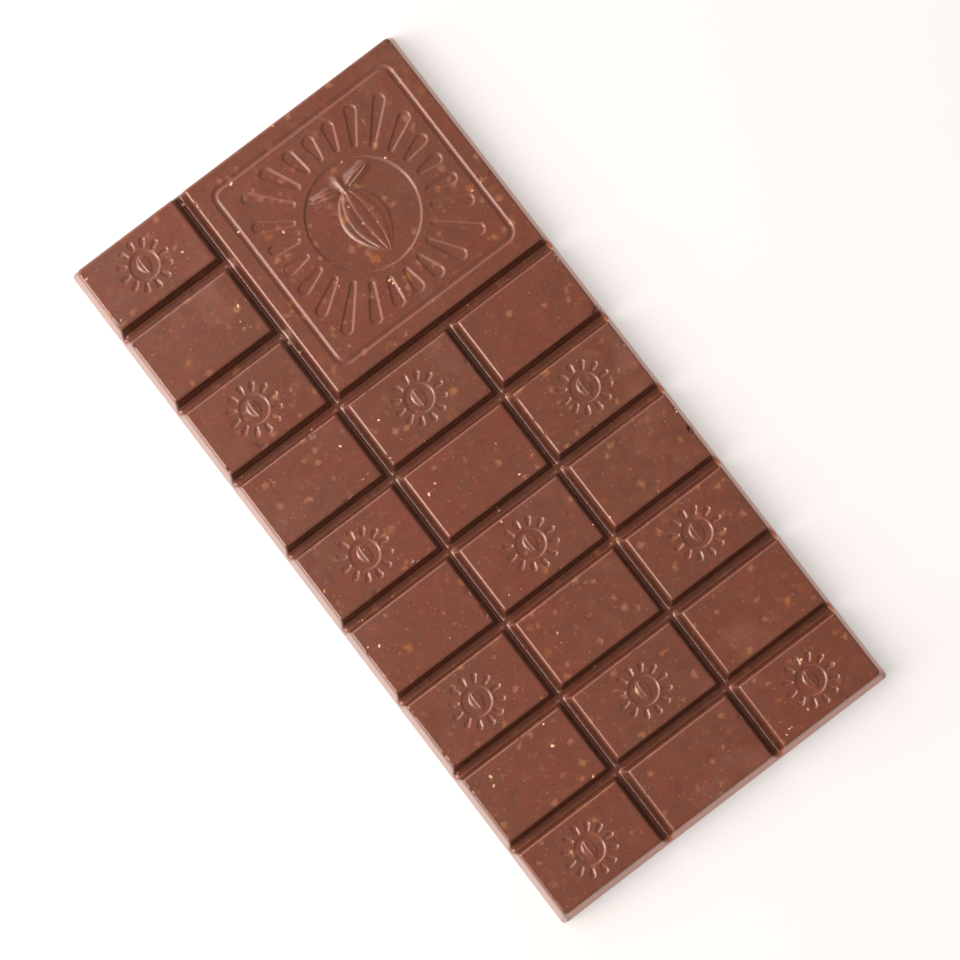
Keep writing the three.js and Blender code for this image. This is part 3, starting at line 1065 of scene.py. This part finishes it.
def groove_level(size, x, y, slope):
    """How high the walls of the nearest grooves have risen, in metres."""
    columns, rows = size("Columns"), size("Rows")
    across = x / size("Pitch X") + columns * 0.5
    along = y / size("Pitch Y") + rows * 0.5
    first_column = columns - size("Panel columns")
    first_row = rows - size("Panel rows")
    in_panel = (across > first_column) * (along > first_row)
    floor = size("Thickness") - size("Groove depth")
    levels = []
    for place, count, first, pitch in (
        (across, columns, first_column, size("Pitch X")),
        (along, rows, first_row, size("Pitch Y")),
    ):
        last = count - 1.0 - in_panel * (count - 1.0 - first)
        off = abs(place - place.nearest_whole().within(1.0, last)) * pitch
        levels.append(floor + (off - size("Groove floor") * 0.5) * slope)
    walls = meet(*levels, size("Tile corner") * slope)
    return -rounded_top(-walls, -floor, slope, size("Floor round"))


def outer_level(size, x, y):
    """How high the outer wall has risen, in metres."""
    slope = size("Thickness") / size("Wall lean")
    level_x = (size("Width") * 0.5 - abs(x)) * slope
    level_y = (size("Length") * 0.5 - abs(y)) * slope
    return meet(level_x, level_y, size("Outer corner") * slope)


def bar_tree(bar, material):
    """The tree that raises the flat sheet into the moulded bar. The hollows aren't among its
    inputs, because they are in the sheet's relief."""
    more = {
        "Sharp angle": SHARP_ANGLE,
        "Columns": COLUMNS,
        "Rows": ROWS,
        "Panel columns": PANEL_COLUMNS,
        "Panel rows": PANEL_ROWS,
    }
    made = GeometryTree("Moulded bar", bar, material, more, left_out=("Hollows",))
    tree, size = made.tree, made.field
    position = node_field(tree, "GeometryNodeInputPosition")
    x, y, _ = split(tree, position)
    slope = size("Groove depth") / ((size("Groove top") - size("Groove floor")) * 0.5)
    grooved = groove_level(size, x, y, slope)
    body = meet(grooved, outer_level(size, x, y), size("Tile corner") * slope * 0.6)
    height = rounded_top(body, size("Thickness"), slope, size("Edge round"))

    relief, raised = read_field(tree, "relief"), read_field(tree, "raised")
    wave = noise_field(tree, position, WAVES_PER_METRE, detail=1.0, seed=size("Seed"))
    face = (height + relief - wave * size("Waviness")).most(0.0)
    z = face * raised + relief * (1.0 - raised)
    inputs = {"Position": joined(tree, x, y, z)}
    moved = made.shape("GeometryNodeSetPosition", made.entry.outputs["Geometry"], inputs)
    angle = node_field(tree, "GeometryNodeInputMeshEdgeAngle")
    made.finish(moved, sharp=angle > size("Sharp angle"))
    return made


def crumb_tree(crumbs, material):
    """The tree that scatters crumbs as thickly as the bar's crumb_places attribute says."""
    made = GeometryTree("Scattered crumbs", crumbs, material)
    tree, size = made.tree, made.field
    level_enough = 0.7
    per_square_metre = size("Per square cm") * 1e4
    up = split(tree, node_field(tree, "GeometryNodeInputNormal"))[2]
    density = read_field(tree, "crumb_places") * per_square_metre
    inputs = {"Selection": up > level_enough, "Density": density, "Seed": size("Seed")}
    ground = made.entry.outputs["Geometry"]
    spots = made.shape("GeometryNodeDistributePointsOnFaces", ground, inputs)
    lump = node_field(tree, "GeometryNodeMeshIcoSphere", {"Radius": 0.5, "Subdivisions": 2})
    at = node_field(tree, "GeometryNodeInputPosition")
    dent = noise_field(tree, at, scale=1.7, detail=2.0, seed=1.0)
    inputs = {"Position": scaled(tree, at, dent + 0.45)}
    broken = made.shape("GeometryNodeSetPosition", lump, inputs)
    share = random_value(tree, size("Seed"), 0.0, 1.0)
    width = size("Smallest") + (size("Largest") - size("Smallest")) * share * share * share
    narrow, flat = 0.7, random_value(tree, size("Seed") + 5.0, 0.24, 0.36)
    turn = random_value(tree, size("Seed") + 9.0, 0.0, 2 * math.pi)
    heading = {"Euler": joined(tree, 0.0, 0.0, turn)}
    inputs = {
        "Instance": broken,
        "Rotation": node_field(tree, "FunctionNodeEulerToRotation", heading),
        "Scale": joined(tree, width, width * narrow, width * flat),
    }
    made.finish(made.shape("GeometryNodeInstanceOnPoints", spots, inputs))
    return made


# Materials, in millimetres of the object's own coordinates


class Shader:
    """A material's tree, with the object's coordinates in millimetres."""

    def __init__(self, name):
        self.material = bpy.data.materials.new(name)
        self.material.use_nodes = True
        self.tree = self.material.node_tree
        self.principled = self.tree.nodes["Principled BSDF"]
        here = add_node(self.tree, "ShaderNodeTexCoord").outputs
        self.place = scaled(self.tree, here["Object"], 1 / MM)
        self.x, self.y, self.z = split(self.tree, self.place)
        self.steepness = abs(split(self.tree, here["Normal"])[2])  # 1 on the flats, 0 on a wall

    def noise(self, per_mm, detail=2.0, roughness=0.5, output=0):
        """Soft noise from 0 to 1. Output 1 is a colour, with three of them in it."""
        inputs = {"Vector": self.place, "Scale": per_mm, "Detail": detail, "Roughness": roughness}
        return node_field(self.tree, "ShaderNodeTexNoise", inputs, output)

    def ramp(self, value, low, high):
        """0 below low, 1 above high, and a soft step between. Low may be the greater."""
        inputs = {"Value": value, "From Min": low, "From Max": high}
        return node_field(self.tree, "ShaderNodeMapRange", inputs, interpolation_type="SMOOTHSTEP")

    def mix(self, share, first, second):
        """One colour over another. A Mix node's colours are its inputs 6 and 7 and output 2."""
        inputs = {"Factor": share, 6: first, 7: second}
        return node_field(self.tree, "ShaderNodeMix", inputs, 2, data_type="RGBA")

    def grains(self, per_mm, radius, wander, share):
        """Soft-edged grains cut by the surface at chance depths, and a number for each."""
        drift = self.noise(0.9 / radius, 3.0, output=1)
        offset = self.vector("SUBTRACT", drift, (0.5,) * 3)
        place = self.vector("ADD", self.place, scaled(self.tree, offset, wander))
        cells = add_node(self.tree, "ShaderNodeTexVoronoi", {"Vector": place, "Scale": per_mm}).outputs
        picked = add_node(self.tree, "ShaderNodeSeparateColor", {0: cells["Color"]}).outputs
        own, chance, tint = (Field(self.tree, output) for output in picked)
        size = (own * 0.6 + 0.55) * (radius * per_mm)
        solid = self.ramp(Field(self.tree, cells["Distance"]) / size, 1.0, 0.1)
        return solid * (chance < share), tint

    def vector(self, operation, first, second):
        inputs = {0: first, 1: second}
        return node_field(self.tree, "ShaderNodeVectorMath", inputs, operation=operation)

    def bump(self, height, distance_mm, strength):
        inputs = {"Height": height, "Distance": distance_mm * MM, "Strength": strength}
        self.set(Normal=node_field(self.tree, "ShaderNodeBump", inputs))

    def set(self, **values):
        """Sets the shader's own sockets. Underscores stand for spaces in their names."""
        for name, value in values.items():
            plug(self.tree, self.principled.inputs[name.replace("_", " ")], value)


def milk_chocolate(colours, bar):
    """Satin chocolate with two drifting browns, amber grains and fine paler specks. Two outer walls
    are duller and painted a paler brown, a painted light bounced from the floor; they and the left
    wall have a dusty sheen. Its rounded edges are painted paler, a painted highlight, and its groove
    feet are glossier."""
    made = Shader("milk_chocolate")
    drift = made.ramp(made.noise(0.06, 3.0) * 0.5 + made.noise(0.42, 2.0) * 0.5, 0.38, 0.62)
    tone = made.noise(0.35, 2.0) * 0.35 + made.noise(2.2, 1.0) * 0.40 + 0.625
    brown = made.mix(drift, colours.red_brown, colours.olive_brown)
    brown = scaled(made.tree, brown, tone)
    layers = []
    for *sizes, faintest, more, colour in GRAINS:
        grains, tint = made.grains(*sizes)
        brown = made.mix(grains * (tint * more + faintest), brown, getattr(colours, colour))
        layers.append(grains)
    smear = made.ramp(made.noise(0.045, 4.0, 0.7), 0.56, 0.78)
    brown = made.mix(smear * 0.10, brown, colours.bloom)

    rim_x = (bar.width / 2 - bar.wall_lean) / MM
    rim_y = (bar.length / 2 - bar.wall_lean) / MM
    left_wall = -made.x - rim_x
    # The +X and -Y outer walls: their colour is painted lighter, as painted light bounced from the
    # floor, and they are made rougher, less shiny and given a sheen.
    painted_floor_light = made.ramp((made.x - rim_x).most(-made.y - rim_y), -0.10, 0.45)
    painted_floor_light = painted_floor_light * made.ramp(left_wall, 0.2, -0.8) * 0.9
    brown = made.mix(painted_floor_light, brown, colours.painted_floor_light)
    dusty = made.ramp(left_wall, 0.0, 0.5)
    # Every rounded edge is painted paler with bloom: a painted highlight standing for light caught
    # along the edges.
    highlit = made.ramp(made.steepness, 0.98, 0.80) * made.ramp(made.steepness, 0.25, 0.50)
    brown = made.mix(highlit * 0.25, brown, colours.bloom)

    scuffed = made.ramp(made.steepness, 0.75, 0.35)
    gloss = made.noise(0.12, 3.0) * 0.08 + 0.17 + smear * 0.08 + scuffed * 0.08
    foot = (bar.thickness - bar.groove_depth) / MM
    off_rim = (abs(made.x) - rim_x).most(abs(made.y) - rim_y)
    moulded = made.ramp(made.z, foot + 1.4, foot + 0.6) * made.ramp(off_rim, -0.1, -0.5)
    gloss = gloss * (-moulded * 0.7 + 1.0)
    made.set(
        Base_Color=brown,
        Roughness=gloss + painted_floor_light * 0.3,
        Specular_IOR_Level=0.5 - painted_floor_light * 0.2,
        Sheen_Weight=painted_floor_light * 0.8 + dusty * 0.8,
        Sheen_Roughness=0.3,
        Sheen_Tint=colours.dust,
        IOR=1.48,
        Subsurface_Weight=0.12,
        Subsurface_Scale=0.0012,
        Subsurface_Radius=(1.0, 0.42, 0.22),
    )
    relief = made.noise(2.6, 2.0) * 0.5 + made.noise(0.35, 2.0) * 0.5 + layers[0] * 0.25
    made.bump(relief, 0.02, 0.6)
    return made.material


def fresh_crumb(colours):
    """Broken chocolate: paler, dull and rough."""
    made = Shader("fresh_crumb")
    shade = made.ramp(made.noise(0.7, 2.0), 0.4, 0.65)
    made.set(Base_Color=made.mix(shade, colours.crumb, colours.amber), Roughness=0.55, IOR=1.46)
    made.bump(made.noise(9.0, 2.0), 0.03, 0.5)
    return made.material


def white_floor(stage):
    """A plain pale sheet with a little light of its own, as from a bright room."""
    made = Shader("white_floor")
    paper = made.noise(0.02, 2.0) * 0.02 + 0.99
    made.set(
        Base_Color=scaled(made.tree, tuple(stage.floor_colour), paper),
        Roughness=0.65,
        Emission_Color=stage.glow_colour,
        Emission_Strength=stage.floor_glow,
    )
    return made.material


# The steps


class CHOCOLATE_OT_mould_bar(bpy.types.Operator):
    """Mould the bar: its tiles, grooves, panel, stamps and flaws, as one closed piece"""

    bl_idname = "chocolate.mould_bar"
    bl_label = "Mould the bar"

    def execute(self, context):
        scene = context.scene
        sizes = scene.bar_sizes
        mesh = flat_sheet(in_mm(sizes), in_mm(scene.panel_stamp), in_mm(scene.tile_stamp))
        sheet = add_object("flat_sheet", mesh)
        material = milk_chocolate(scene.chocolate_colours, sizes)
        made = bar_tree(sizes, material).run(sheet)
        bpy.data.objects.remove(sheet)
        if len(made.polygons) < FEWEST_FACES:
            raise RuntimeError("the bar came out without its surface")
        bar = add_object("moulded_bar", made)
        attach(bar, BODY)
        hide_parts(NODE)
        return {"FINISHED"}


class CHOCOLATE_OT_scatter_crumbs(bpy.types.Operator):
    """Scatter crumbs over the bar, most of them near its edges"""

    bl_idname = "chocolate.scatter_crumbs"
    bl_label = "Scatter crumbs"

    def execute(self, context):
        scene = context.scene
        bar = bpy.data.objects["moulded_bar"]
        ground = add_object("crumb_ground", bar.data.copy())
        made = crumb_tree(scene.crumb_sizes, fresh_crumb(scene.chocolate_colours)).run(ground)
        bpy.data.objects.remove(ground)
        if not made.polygons:
            raise RuntimeError("no crumbs fell on the bar")
        crumbs = add_object("chocolate_crumbs", made)
        for name in ("relief", "raised", "crumb_places"):
            bar.data.attributes.remove(bar.data.attributes[name])
        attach(crumbs, BODY)
        return {"FINISHED"}


class CHOCOLATE_OT_set_stage(bpy.types.Operator):
    """Lay the pale floor and set the soft lights and the camera"""

    bl_idname = "chocolate.set_stage"
    bl_label = "Set the stage"

    def execute(self, context):
        stage = context.scene.stage_settings
        half = stage.floor_size / 2
        mesh = bpy.data.meshes.new("floor")
        corners = [(-half, -half, 0), (half, -half, 0), (half, half, 0), (-half, half, 0)]
        mesh.from_pydata(corners, [], [(0, 1, 2, 3)])
        mesh.materials.append(white_floor(stage))
        add_object("floor", mesh)
        light_scene(context.scene, stage)
        place_camera(context.scene)
        return {"FINISHED"}


def light_scene(scene, stage):
    """A warm dim room, a tall window at the left of the picture and the pale wall beside it."""
    scene.view_settings.view_transform = "Standard"
    world = bpy.data.worlds.new("room")
    world.use_nodes = True
    background = world.node_tree.nodes["Background"].inputs
    plug(world.node_tree, background["Color"], stage.sky_colour)
    plug(world.node_tree, background["Strength"], stage.sky)
    scene.world = world
    add_soft_light("window_light", WINDOW, stage.window_power, stage.window_colour)
    add_soft_light("pale_wall_light", PALE_WALL, stage.wall_power, stage.window_colour)


def add_soft_light(name, stand, power, colour):
    """A flat light that faces the bar from one metre away."""
    turn, height = math.radians(stand[0]), math.radians(stand[1])
    flat = math.cos(height)
    lamp = bpy.data.lights.new(name, "AREA")
    lamp.shape = "RECTANGLE"
    lamp.size, lamp.size_y = stand[2:]
    lamp.energy = power
    lamp.color = colour
    light = add_object(name, lamp)
    light.location = (-flat * math.cos(turn), flat * math.sin(turn), math.sin(height))
    light.rotation_euler = (-light.location).to_track_quat("-Z", "Y").to_euler()


def place_camera(scene):
    """The photograph's view: nearly straight down, with the bar turned a little."""
    sight = Vector(CAMERA_SIGHT).normalized()
    right = Vector(CAMERA_RIGHT)
    right = (right - sight * right.dot(sight)).normalized()
    turned = Matrix((right, right.cross(sight), -sight)).transposed().to_4x4()
    lens = bpy.data.cameras.new("camera")
    lens.sensor_width = 36.0
    lens.lens = CAMERA_FOCUS_PX / PICTURE_SIDE_PX * lens.sensor_width
    lens.shift_x = (PICTURE_SIDE_PX / 2 - CAMERA_CENTRE_PX[0]) / PICTURE_SIDE_PX
    lens.shift_y = (CAMERA_CENTRE_PX[1] - PICTURE_SIDE_PX / 2) / PICTURE_SIDE_PX
    lens.clip_start = 0.01
    scene.camera = add_object("camera", lens)
    scene.camera.matrix_world = Matrix.Translation(Vector(CAMERA_PLACE)) @ turned


class CHOCOLATE_PT_sidebar(bpy.types.Panel):
    """The bar's sizes, colours and steps"""

    bl_label = "Chocolate bar"
    bl_idname = "CHOCOLATE_PT_sidebar"
    bl_space_type = "VIEW_3D"
    bl_region_type = "UI"
    bl_category = "Chocolate"

    def draw(self, context):
        for step in STEPS:
            self.layout.operator(step.bl_idname)
        for owner, _ in GROUPS:
            box = self.layout.box()
            group = getattr(context.scene, owner)
            for name in group.bl_rna.properties.keys():
                if name not in ("name", "rna_type"):
                    box.prop(group, name)


STEPS = (CHOCOLATE_OT_mould_bar, CHOCOLATE_OT_scatter_crumbs, CHOCOLATE_OT_set_stage)
GROUPS = (
    ("bar_sizes", BarSizes),
    ("panel_stamp", PanelStamp),
    ("tile_stamp", TileStamp),
    ("chocolate_colours", ChocolateColours),
    ("crumb_sizes", CrumbSizes),
    ("stage_settings", StageSettings),
)
CLASSES = (*(group for _, group in GROUPS), *STEPS, CHOCOLATE_PT_sidebar)


def register():
    for item in CLASSES:
        bpy.utils.register_class(item)
    for name, group in GROUPS:
        setattr(bpy.types.Scene, name, PointerProperty(type=group))


def unregister():
    for name, _ in GROUPS:
        delattr(bpy.types.Scene, name)
    for item in reversed(CLASSES):
        bpy.utils.unregister_class(item)


def main():
    register()
    bpy.ops.chocolate.mould_bar()
    bpy.ops.chocolate.scatter_crumbs()
    bpy.ops.chocolate.set_stage()


if __name__ == "__main__":
    main()
